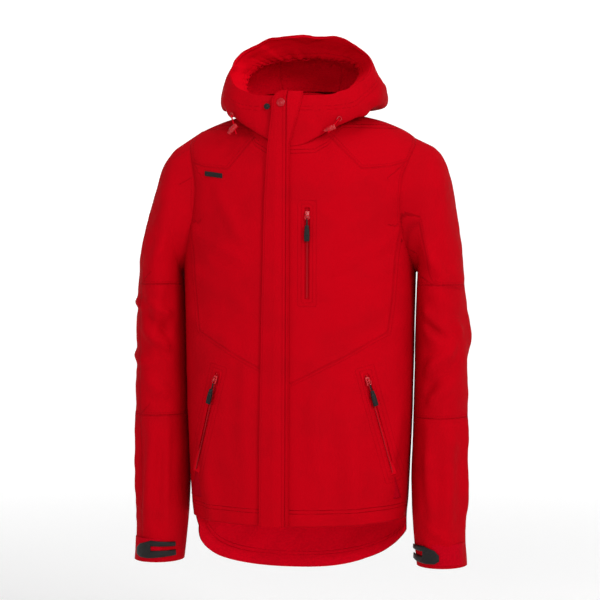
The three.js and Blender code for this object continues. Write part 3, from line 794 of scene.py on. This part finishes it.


# The facing and the fleece are lighter reds than the shell: painted light on the shaded inside of the
# hood.
facing_cloth = cloth_material("facing cloth", (0.52, 0.0, 0.006), seams=(("seam", ()),),
                              stitches=(("stitch", (0.0, 0.005)),))
hood_lining = cloth_material("hood fleece", (0.6, 0.0, 0.009), fleece=0.5, sheen=0.05,
                             seams=(("seam", ()),))
for name, first, last, bulge, gather_at, seed, kind, thick in (
        ("hood_facing_cloth", RIM_LINE, GATHER, 0.004, 1.0, 2.0, facing_cloth, 0.0011),
        ("hood_fleece", GATHER + (0, 0.6, 0), NAPE, 0.012, 0.0, 8.0, hood_lining, 0.0014)):
    panel = sheet_mesh(300, 44, between(first, last, bulge, gather_at, seed))
    bmesh.ops.recalc_face_normals(panel, faces=panel.faces)
    if sum(f.normal.dot(f.calc_center_median() - Vector((0, 0.01, 0.03))) for f in panel.faces) > 0:
        bmesh.ops.reverse_faces(panel, faces=panel.faces)
    piece = cloth_piece(name, panel, thick, kind)
    panel.free()
    piece.modifiers["cloth"].offset = 0
    u, v = np.tile(np.linspace(0, 1, 301), 45), np.repeat(np.linspace(0, 1, 45), 301)
    run = u * 0.5
    if gather_at:
        mark(piece, "seam", np.stack((run, (1 - v) * 0.045)))
        mark(piece, "stitch", np.stack((run, (1 - v) * 0.045 - 0.004)))
    else:
        mark(piece, "seam", np.stack((run, v * 0.06)), np.stack((run, (u - 0.4) * 0.5)),
             np.stack((run, (u - 0.6) * 0.5)))
    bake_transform(piece)
    if gather_at:
        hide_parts("hood_facing")

# ---------------------------------------------------------------------------------------
# Front zip: a moulded coil on two red tapes from the hem to the top of the collar, with a
# black slider. It leans out with the front edge, so it is built upright and tilted.
LEAN = Matrix.Translation((0, -0.1175, 0)) @ Matrix.Rotation(-math.atan(0.0247), 4, "X")


def plastic(name, colour, roughness, coat=0.0):
    """Moulded plastic with a faint unevenness in its polish."""
    made, shader, s = material(name, colour, roughness, Coat_Roughness=0.2,
                               Specular_IOR_Level=0.16)
    rest = s.node("ShaderNodeTexCoord", out=3)
    grain = s.node("ShaderNodeTexNoise", {"Vector": rest, "Scale": 260.0, "Detail": 3.0})
    feed(grain.ramp(0.3, 0.7, roughness * 0.85, min(roughness * 1.15, 1)), shader, "Roughness")
    shader.inputs["Coat Weight"].default_value = coat
    bump = s.node("ShaderNodeBump", {"Height": grain, "Strength": 0.25, "Distance": 0.0002})
    feed(bump, shader, "Normal")
    return made


black_plastic = plastic("black moulded plastic", (0.007, 0.0062, 0.0062), 0.5)
coil_black = plastic("zip coil", (0.03, 0.026, 0.026), 0.5)
tape_red = cloth_material("red tape", (0.42, 0.0, 0.005))


def hard_piece(name, mesh, matrix, kind, smooth_angle=35.0):
    """A moulded or woven part, built in its own place and set down in the jacket's."""
    bmesh.ops.transform(mesh, matrix=matrix, verts=mesh.verts)
    bmesh.ops.recalc_face_normals(mesh, faces=mesh.faces)
    data = bpy.data.meshes.new(name)
    mesh.to_mesh(data)
    mesh.free()
    data.materials.append(kind)
    data.shade_smooth()
    data.set_sharp_from_angle(angle=math.radians(smooth_angle))
    piece = bpy.data.objects.new(name, data)
    scene.collection.objects.link(piece)
    rest = data.attributes.new("rest", "FLOAT_VECTOR", "POINT")
    rest.data.foreach_set("vector", np.array([v.co for v in data.vertices]).ravel())
    return piece


def block(mesh, low, high, round_off=0.0):
    """A box between two corners, in mm, with its edges rounded."""
    low, high = Vector(low) * MM, Vector(high) * MM
    made = bmesh.ops.create_cube(mesh, size=1)["verts"]
    bmesh.ops.scale(mesh, vec=high - low, verts=made)
    bmesh.ops.translate(mesh, vec=(low + high) / 2, verts=made)
    if round_off:
        edges = list({e for v in made for e in v.link_edges})
        bmesh.ops.bevel(mesh, geom=edges, offset=round_off * MM, segments=3, profile=0.5,
                        affect="EDGES")


for side, low, high in (("L", -11.8, 0), ("R", -19.5, -12.2)):
    tape = bmesh.new()
    block(tape, (low, 6.2, -684), (high, 7, 16), 0.2)
    piece = hard_piece(f"front_tape_{side}", tape, LEAN, tape_red)
    belongs(piece, "jacket", "red_tape", f"zip_tape_{side}")


def zip_teeth(mesh, x, low, high, y, width, pitch):
    """Teeth of a coil zip, hooked in turn from one side and the other."""
    for k in range(int((high - low) / pitch)):
        hand = 1 if k % 2 else -1
        z = low + (k + 0.5) * pitch
        block(mesh, (x + min(0, hand * width) - 0.4 * hand, y - 0.9, z - pitch * 0.34),
              (x + max(0, hand * width) - 0.4 * hand, y + 0.9, z + pitch * 0.34))


coil = bmesh.new()
zip_teeth(coil, -12, -682, 15, 3.4, 2.4, 2.4)
block(coil, (-14.4, 4.2, -682), (-9.6, 5.0, 16))
piece = hard_piece("front_coil", coil, LEAN, coil_black)
belongs(piece, "jacket", "black_tape", "zip_coil")

slider = bmesh.new()
block(slider, (-16.5, -1.5, -14), (-7.5, 0.3, -2), 0.8)
block(slider, (-13.1, -3.5, -12), (-10.9, -1.4, -4), 0.5)
piece = hard_piece("front_slider_body", slider, LEAN, black_plastic)
belongs(piece, "front_slider", "black_plastic", "zip_slider")
pull = bmesh.new()
block(pull, (-15.6, -3.4, -46), (-8.4, -2.2, -12.6), 0.5)
block(pull, (-15.6, -3.4, -13), (-13.8, -2.2, -2), 0.5)
block(pull, (-10.2, -3.4, -13), (-8.4, -2.2, -2), 0.5)
block(pull, (-15.6, -3.4, -3.6), (-8.4, -2.2, -2), 0.5)
piece = hard_piece("front_pull", pull, LEAN, black_plastic)
belongs(piece, "front_slider", "black_plastic", "zip_pull")

# ---------------------------------------------------------------------------------------
# Storm flap: a doubled strip over the zip, sewn down along a base and free on the
# wearer's right, with two rows of stitches beside the fold.
FREE_EDGE = [(-6.2, 34), (-16, 35), (-25, 31), (-30, 20), (-31, -6), (-38, -60), (-43, -150),
             (-47, -330), (-50, -560), (-50, -691)]
edge_x = lambda z: np.interp(-z, [-6] + [-p[1] for p in FREE_EDGE[4:]],
                             [-30.8] + [p[0] for p in FREE_EDGE[4:]])


def strip_mesh(columns, rows, top, end, left, right, surface):
    """A strip of cloth from its top to its end, in the leaning frame of the front."""
    def place(u, v):
        z = top + (end - top) * v
        x = left(z) + (right(z) - left(z)) * u
        return np.stack((x, surface(x, z, u), z), -1) * MM
    return sheet_mesh(columns, rows, place)


def flap_surface(x, z, u):
    """It stands off the slider, comes down at the free edge and ripples a little."""
    out = np.interp(-x, (6, 24, 50), (-7.6, -7.4, -2.2))
    ripple = 0.5 * np.sin(z / 37.0) * np.sin(z / 91.0 + 1) * (1 - u)
    return out + ripple - 0.35 * np.exp(-((x + 10) / 2.2) ** 2)


top_edge = lambda z: np.interp(z, (-6, 20, 29, 33, 35), (-30.8, -30, -26, -19, -12))
flap = strip_mesh(24, 300, 34.6, -691, lambda z: np.where(z > -6, top_edge(z), edge_x(z)),
                  lambda z: np.full_like(z, -6.2), flap_surface)
bmesh.ops.transform(flap, matrix=LEAN, verts=flap.verts)
face_front(flap)
flap_cloth = cloth_material("flap cloth", RED, seams=(("seam", ()),),
                            stitches=(("stitch", (0.0,)),))
flap_piece = cloth_piece("storm_flap_cloth", flap, 0.0028, flap_cloth)
flap.free()
at = vertices(flap_piece)
soft_edge = flap_piece.modifiers.new("folded_edge", "BEVEL")
soft_edge.width, soft_edge.segments, soft_edge.angle_limit = 0.0009, 3, math.radians(60)
z = at[:, 2] / MM
free = np.where(z > -6, top_edge(z), edge_x(z)) * MM
mark(flap_piece, "seam", np.stack((at[:, 2], at[:, 0] + 0.0058)))
mark(flap_piece, "stitch", np.stack((at[:, 2], at[:, 0] + 0.0108)),
     np.stack((at[:, 2], at[:, 0] - free - 0.003)))
belongs(flap_piece, "flap", "red_softshell", "storm_flap")

base_right = lambda z: np.interp(z, (-691, -56, 18, 30), (0, 0, 20, 20))
base = strip_mesh(14, 260, 33, -691, lambda z: np.full_like(z, -5.9), base_right,
                  lambda x, z, u: -7.3 + 6.2 * np.clip((u - 0.35) / 0.65, 0, 1) ** 1.5
                  * (z < 40))
bmesh.ops.transform(base, matrix=LEAN, verts=base.verts)
face_front(base)
base_piece = cloth_piece("flap_base_cloth", base, 0.0022, flap_cloth)
base.free()
at = vertices(base_piece)
mark(base_piece, "seam", np.stack((at[:, 2], at[:, 0] + 0.0062)))
mark(base_piece, "stitch", np.stack((at[:, 2], at[:, 0] - (base_right(at[:, 2] / MM) - 2.4) * MM)))
belongs(base_piece, "jacket", "red_softshell", "flap_base")

# ---------------------------------------------------------------------------------------
# Snap fastener at the top of the flap, undone: a red moulded cap with its socket riveted
# behind it, and a black stud on the other front.
red_plastic = plastic("red moulded plastic", (0.28, 0.0, 0.004), 0.4, 0.1)


def turned(mesh, profile, segments=32):
    """A round part about the -Y axis from (radius, height) pairs in mm."""
    points = [mesh.verts.new((r * MM, -y * MM, 0)) for r, y in profile]
    edges = [mesh.edges.new(pair) for pair in zip(points, points[1:])]
    bmesh.ops.spin(mesh, geom=[*points, *edges], axis=(0, 1, 0), cent=(0, 0, 0),
                   steps=segments, angle=2 * math.pi)
    bmesh.ops.remove_doubles(mesh, verts=mesh.verts, dist=1e-6)


for name, profile, place, kind, body_name in (
        ("snap_cap", [(0, 0), (6.6, 0), (7, 0.3), (6.8, 0.8), (5.6, 1.5), (4.6, 1.7), (4.2, 1.5),
                      (2.4, 1.9), (0, 2.1)], (-14.5, -8.2, 14), red_plastic, "flap"),
        ("snap_socket", [(0, 0), (5, 0), (5, 1), (3.4, 1.2), (3, 0.6), (0, 0.6)],
         (-14.5, -3.1, 14), black_plastic, "flap"),
        ("snap_stud", [(0, 0), (5, 0), (5, 0.6), (4.4, 1), (2.8, 1.1), (2.2, 1.6), (2.5, 2.4),
                       (1.8, 2.8), (0, 2.8)], (-39, -0.8, 8), black_plastic, "jacket")):
    mesh = bmesh.new()
    turned(mesh, profile)
    piece = hard_piece(f"{name}_disc", mesh, LEAN @ Matrix.Translation(Vector(place) * MM), kind)
    belongs(piece, body_name, "red_plastic" if kind is red_plastic else "black_plastic", name)

# ---------------------------------------------------------------------------------------
# Pocket zips: a coil on red tape behind each window, a slider with a bridge, and a pull of
# a wire loop, a short cord and a moulded black end.
zip_red = plastic("red zip coil", (0.32, 0.0, 0.004), 0.5)
metal_red = plastic("red slider", (0.4, 0.0, 0.005), 0.28, 0.5)


for name, (x, z, length, lean) in POCKETS.items():
    top = Vector((x, 0, z)) * MM
    end = top + Vector((math.sin(lean), 0, -math.cos(lean))) * length * MM
    top.y, end.y = body_y(top.x, top.z), body_y(end.x, end.z)
    middle = (top + end) / 2
    slope = (body_y(middle.x + MM, middle.z) - body_y(middle.x - MM, middle.z)) / (2 * MM)
    up = (top - end).normalized()
    inward = Vector((-slope, 1, 0))
    inward = (inward - up * inward.dot(up)).normalized()
    own = Matrix((inward.cross(up), inward, up)).transposed().to_4x4()
    own.translation = top

    teeth = bmesh.new()
    zip_teeth(teeth, 0, -length - 4, 4, 1.1, 1.7, 1.9)
    piece = hard_piece(f"{name}_coil", teeth, own, zip_red)
    belongs(piece, "jacket", "red_plastic", f"{name}_zip")
    tape = bmesh.new()
    block(tape, (-7.5, 2.6, -length - 8), (7.5, 3.2, 8), 0.15)
    piece = hard_piece(f"{name}_tape", tape, own, tape_red)
    belongs(piece, "jacket", "red_tape")

    slider = bmesh.new()
    block(slider, (-3.9, -1.9, -12), (3.9, -0.2, 0), 0.8)
    block(slider, (-1.1, -5.2, -3.6), (1.1, -1.7, -1.8), 0.4)
    block(slider, (-1.1, -5.2, -10.2), (1.1, -1.7, -8.4), 0.4)
    block(slider, (-1.1, -5.2, -10.2), (1.1, -3.9, -1.8), 0.4)
    piece = hard_piece(f"{name}_slider_body", slider, own, metal_red)
    belongs(piece, f"{name}_slider", "red_plastic", f"{name}_slider")

    hang = own @ Matrix.Translation(Vector((0, -3, -6)) * MM)
    loop = bmesh.new()
    ring = bmesh.ops.create_circle(loop, segments=10, radius=0.7 * MM,
                                   matrix=Matrix.Translation((4 * MM, 0, 0)))["verts"]
    edges = list({e for v in ring for e in v.link_edges})
    bmesh.ops.spin(loop, geom=[*ring, *edges], axis=(0, 1, 0), cent=(0, 0, 0), steps=32,
                   angle=2 * math.pi)
    bmesh.ops.remove_doubles(loop, verts=loop.verts, dist=1e-6)
    bmesh.ops.translate(loop, vec=(0, 0, -4 * MM), verts=loop.verts)
    piece = hard_piece(f"{name}_ring", loop, hang, metal_red)
    belongs(piece, f"{name}_pull", "red_plastic", f"{name}_pull")
    # The end is moulded over the cord: waisted, with grip ribs; the hole at its tip is not built.
    grip = bmesh.new()
    bmesh.ops.create_cone(grip, segments=16, radius1=1.2 * MM, radius2=1.2 * MM,
                          depth=13 * MM, cap_ends=True,
                          matrix=Matrix.Translation((0, -1.1 * MM, -14 * MM)))
    for low, high, wide, deep in ((-24, -17.5, 3.4, 3.8), (-29, -23, 4.1, 4.6), (-44, -28, 4.4, 4.2)):
        block(grip, (-wide, -2.6 - deep / 2, low), (wide, -2.6 + deep / 2, high), 1.3)
    for k in range(4):
        block(grip, (-3.2, -5.3, -31.5 - 3 * k), (3.2, 0.1, -30.3 - 3 * k), 0.4)
    piece = hard_piece(f"{name}_grip", grip, hang, black_plastic)
    belongs(piece, f"{name}_pull", "black_plastic")

# ---------------------------------------------------------------------------------------
# Pocket bags of thin brushed cloth, sewn in behind the panels and a little wider than the
# zips that open them.
bag_cloth = cloth_material("pocket bag", (0.3, 0.0, 0.005), fleece=0.3)
for name, columns, corners in (
        ("hand_L_bag", 36, ((62, -424), (124, -424), (180, -648), (62, -660))),
        ("hand_R_bag", 36, ((-124, -424), (-62, -424), (-62, -660), (-180, -648))),
        ("chest_bag", 30, ((8, -152), (72, -152), (72, -336), (8, -336)))):
    corners = np.array(corners) * MM

    def bag_place(u, v):
        u, v = u[:, None], v[:, None]
        flat = (corners[0] * (1 - u) + corners[1] * u) * (1 - v) + (
            corners[3] * (1 - u) + corners[2] * u) * v
        x, z = flat.T
        bulge = 0.002 * np.sin(np.pi * u[:, 0]) * np.sin(np.pi * v[:, 0])
        return np.stack((x, body_y(x, z) + 0.0085 + bulge, z), -1)

    bag = sheet_mesh(columns, 60, bag_place)
    bmesh.ops.recalc_face_normals(bag, faces=bag.faces)
    piece = cloth_piece(f"{name}_cloth", bag, 0.0006, bag_cloth)
    bag.free()
    belongs(piece, "jacket", "red_softshell", name)

# ---------------------------------------------------------------------------------------
# Cuff adjusters: a black moulded two-legged tab, sewn down at its inner end, that grips a
# red plush patch on the cuff.
plush = cloth_material("red plush", (0.36, 0.0, 0.006), fleece=0.9, sheen=0.5)


def on_sleeve(x, z, out):
    """The point on the front of the wearer's left cuff at (x, z), some mm off the cloth."""
    level = np.interp(-z, (620, 700, 768), (11, 12, 13))
    out_x, _, in_x, _, depth, y = np.moveaxis(rows_at(SLEEVE, level), -1, 0)
    half = (out_x - in_x) / 2
    c = np.clip((x - (out_x + in_x) / 2) / half, -0.995, 0.995)
    s = np.sqrt(1 - c * c)
    return np.stack((x + out * c, y - (depth + out) * s, z), -1) * MM


def leg(z_top, z_end, left, right, out, height):
    """A bar of the tab lying on the cuff, with a rounded back."""
    def place(u, v):
        x = left + (right - left) * u ** 1.6
        z = z_top(x) + (z_end(x) - z_top(x)) * v
        crown = height * np.sqrt(np.clip(1 - (2 * v - 1) ** 4, 0, 1)) * np.sqrt(
            np.clip(1 - (2 * u - 1) ** 10, 0, 1))
        return on_sleeve(x, z, out + crown)
    return place


# Each bar of the tab: its upper and lower edge, then where it starts and ends.
TAB_BARS = (
    (((212, 250, 270, 277), (-733, -730, -737, -746)),
     ((212, 250, 262, 277), (-741, -740, -745, -752)), 212, 277),
    (((212, 250, 262, 277), (-747, -747.5, -744, -749)),
     ((212, 255, 270, 277), (-757, -761, -760, -755)), 212, 277),
    (((250, 277), (-736, -744)), ((250, 277), (-756, -754)), 250, 276.5))
for side, hand, shift in (("L", 1, -32), ("R", -1, 0)):
    tab = bmesh.new()
    for top, low, left, right in TAB_BARS:
        # The wearer's left tab is pulled further in round the cuff.
        bar = sheet_mesh(60, 14, leg(lambda x: np.interp(x - shift, *top),
                                     lambda x: np.interp(x - shift, *low),
                                     max(left + shift, 201), right + shift, 2.4, 2.2))
        face_front(bar)
        kept = bpy.data.meshes.new("bar")
        bar.to_mesh(kept)
        bar.free()
        tab.from_mesh(kept)
        bpy.data.meshes.remove(kept)
    if hand < 0:
        flipped(tab)
    piece = cloth_piece(f"cuff_tab_{side}_grip", tab, 0.0014, black_plastic)
    tab.free()
    belongs(piece, f"cuff_tab_{side}", "black_plastic", f"cuff_tab_{side}")
    patch = sheet_mesh(40, 24, leg(lambda x: np.full_like(x, -727), lambda x: np.full_like(x, -764),
                                   232, 284, 0.3, 1.0))
    face_front(patch)
    if hand < 0:
        flipped(patch)
    piece = cloth_piece(f"cuff_patch_{side}_plush", patch, 0.0009, plush)
    patch.free()
    belongs(piece, f"forearm_{side}", "red_tape", f"cuff_patch_{side}")

# ---------------------------------------------------------------------------------------
# A small woven tag let into the yoke seam on the wearer's right: a folded black tape
# without lettering.
black_tape = cloth_material("black tape", (0.016, 0.0145, 0.0145), sheen=0.08)


def tag_place(u, v):
    x = -0.1565 + 0.0335 * u
    z = -0.098 - 0.0045 * u - 0.0082 * v
    found = [body_tree.find_nearest(Vector((a, -0.09, b)))[0].y for a, b in zip(x, z)]
    return np.stack((x, np.array(found) - 0.0016 - 0.0006 * np.sin(np.pi * v), z), -1)


tag = sheet_mesh(24, 8, tag_place)
face_front(tag)
piece = cloth_piece("chest_tag_cloth", tag, 0.001, black_tape)
tag.free()
belongs(piece, "jacket", "black_tape", "chest_tag")

# ---------------------------------------------------------------------------------------
# Hood drawcord: on each side a pressed eyelet, a short end of round cord and a moulded
# lock, whose sprung button lets the cord go.
cord_red = cloth_material("red cord", (0.42, 0.0, 0.005), fleece=0.3)
gloss_red = plastic("glossy red lock", (0.32, 0.0, 0.004), 0.25, 0.25)
CORD_STEPS = 19
# Eyelet, middle of the lock, the way that the eyelet faces and how far the lock is turned.
LOCKS = {"L": ((81, -107.5, -13), (70, -117, -28), 0.42, 1.21),
         "R": ((-103, -92.5, -5), (-96, -104, -26), -0.62, 0.75)}
for side, (eyelet, lock_at, facing_way, turn_by) in LOCKS.items():
    grommet = bmesh.new()
    turned(grommet, [(2.6, -0.4), (2.5, 0.4), (3.0, 1.0), (3.9, 1.0), (4.5, 0.3), (4.4, -0.4),
                     (2.6, -0.4)])
    bmesh.ops.rotate(grommet, cent=(0, 0, 0), matrix=Matrix.Rotation(facing_way, 3, "Z"),
                     verts=grommet.verts)
    piece = hard_piece(f"eyelet_{side}_ring", grommet, Matrix.Translation(Vector(eyelet) * MM),
                       gloss_red)
    belongs(piece, "jacket", "red_plastic", f"eyelet_{side}")

    start = Vector((eyelet[0], eyelet[1] - 2.8, eyelet[2])) * MM
    middle = Vector(lock_at) * MM
    run = middle - start
    line = bmesh.new()
    ring = bmesh.ops.create_circle(line, segments=12, radius=1.3 * MM, matrix=(
        Matrix.Translation(start) @ run.to_track_quat("Z", "Y").to_matrix().to_4x4()))["verts"]
    edges = list({e for v in ring for e in v.link_edges})
    bmesh.ops.holes_fill(line, edges=edges)
    for _ in range(CORD_STEPS):
        grown = bmesh.ops.extrude_edge_only(line, edges=edges)["geom"]
        edges = [g for g in grown if isinstance(g, bmesh.types.BMEdge)
                 and not any(f for f in g.link_faces if len(f.verts) > 4) and len(g.link_faces) == 1]
        new = [g for g in grown if isinstance(g, bmesh.types.BMVert)]
        bmesh.ops.translate(line, vec=run * (1.55 / CORD_STEPS), verts=new)
    bmesh.ops.holes_fill(line, edges=edges)
    piece = hard_piece(f"hood_cord_{side}_line", line, Matrix.Identity(4), cord_red)
    belongs(piece, "jacket", "red_tape", f"hood_cord_{side}")

    stand = Matrix.Translation(middle) @ Matrix.Rotation(turn_by, 4, "Y") @ Matrix.Rotation(
        math.pi / 2, 4, "X")
    for name, profile, rides in (
            ("cord_lock", [(0, -6), (3.6, -6), (4.3, -5.6), (4.8, -4.6), (4.8, -2), (4.55, -1.6),
                           (4.8, -1.2), (4.8, 8.2), (4.4, 9), (3.8, 9), (3.8, 6.5), (0, 6.5)],
             "jacket"),
            ("lock_button", [(0, 9.2), (3.3, 9.2), (3.3, 13.4), (2.9, 14.2), (2.2, 14.6), (0, 14.6)],
             f"lock_button_{side}")):
        mesh = bmesh.new()
        turned(mesh, profile, 40)
        piece = hard_piece(f"{name}_{side}_barrel", mesh, stand, gloss_red)
        belongs(piece, rides, "red_plastic", f"{name}_{side}")

# ---------------------------------------------------------------------------------------
# Inside the back of the neck: a tape over the hood's seam, a hanger loop, a blank label
# and a size tag.
def neck_tape_place(u, v):
    at = hood_point(math.pi * (0.03 + 0.94 * u), np.zeros_like(u))
    inward = at[:, :2] / np.linalg.norm(at[:, :2], axis=1)[:, None] * 0.0036
    return np.column_stack((at[:, :2] - inward, at[:, 2] + (v - 0.5) * 0.015))


neck_tape = sheet_mesh(90, 6, neck_tape_place)
piece = cloth_piece("neck_tape", neck_tape, 0.0006, tape_red)
neck_tape.free()
belongs(piece, "jacket", "red_tape")
loop = bmesh.new()
for low, high in (((-15, 60.6, -6), (-10, 61.4, 33)), ((5, 60.6, -6), (10, 61.4, 33)),
                  ((-15, 60.6, -6), (10, 61.4, -1))):
    block(loop, low, high, 0.2)
piece = hard_piece("hanger_loop_tape", loop, Matrix.Identity(4), tape_red)
belongs(piece, "jacket", "red_tape", "hanger_loop")
for name, low, high in (("neck_label", (-9.5, 62.2, 12), (4.5, 63, 33)),
                        ("size_tag", (13, 61.6, 18), (20, 62.4, 33))):
    label = bmesh.new()
    block(label, low, high, 0.15)
    piece = hard_piece(f"{name}_cloth", label, Matrix.Identity(4), black_tape)
    belongs(piece, "jacket", "black_tape", name)
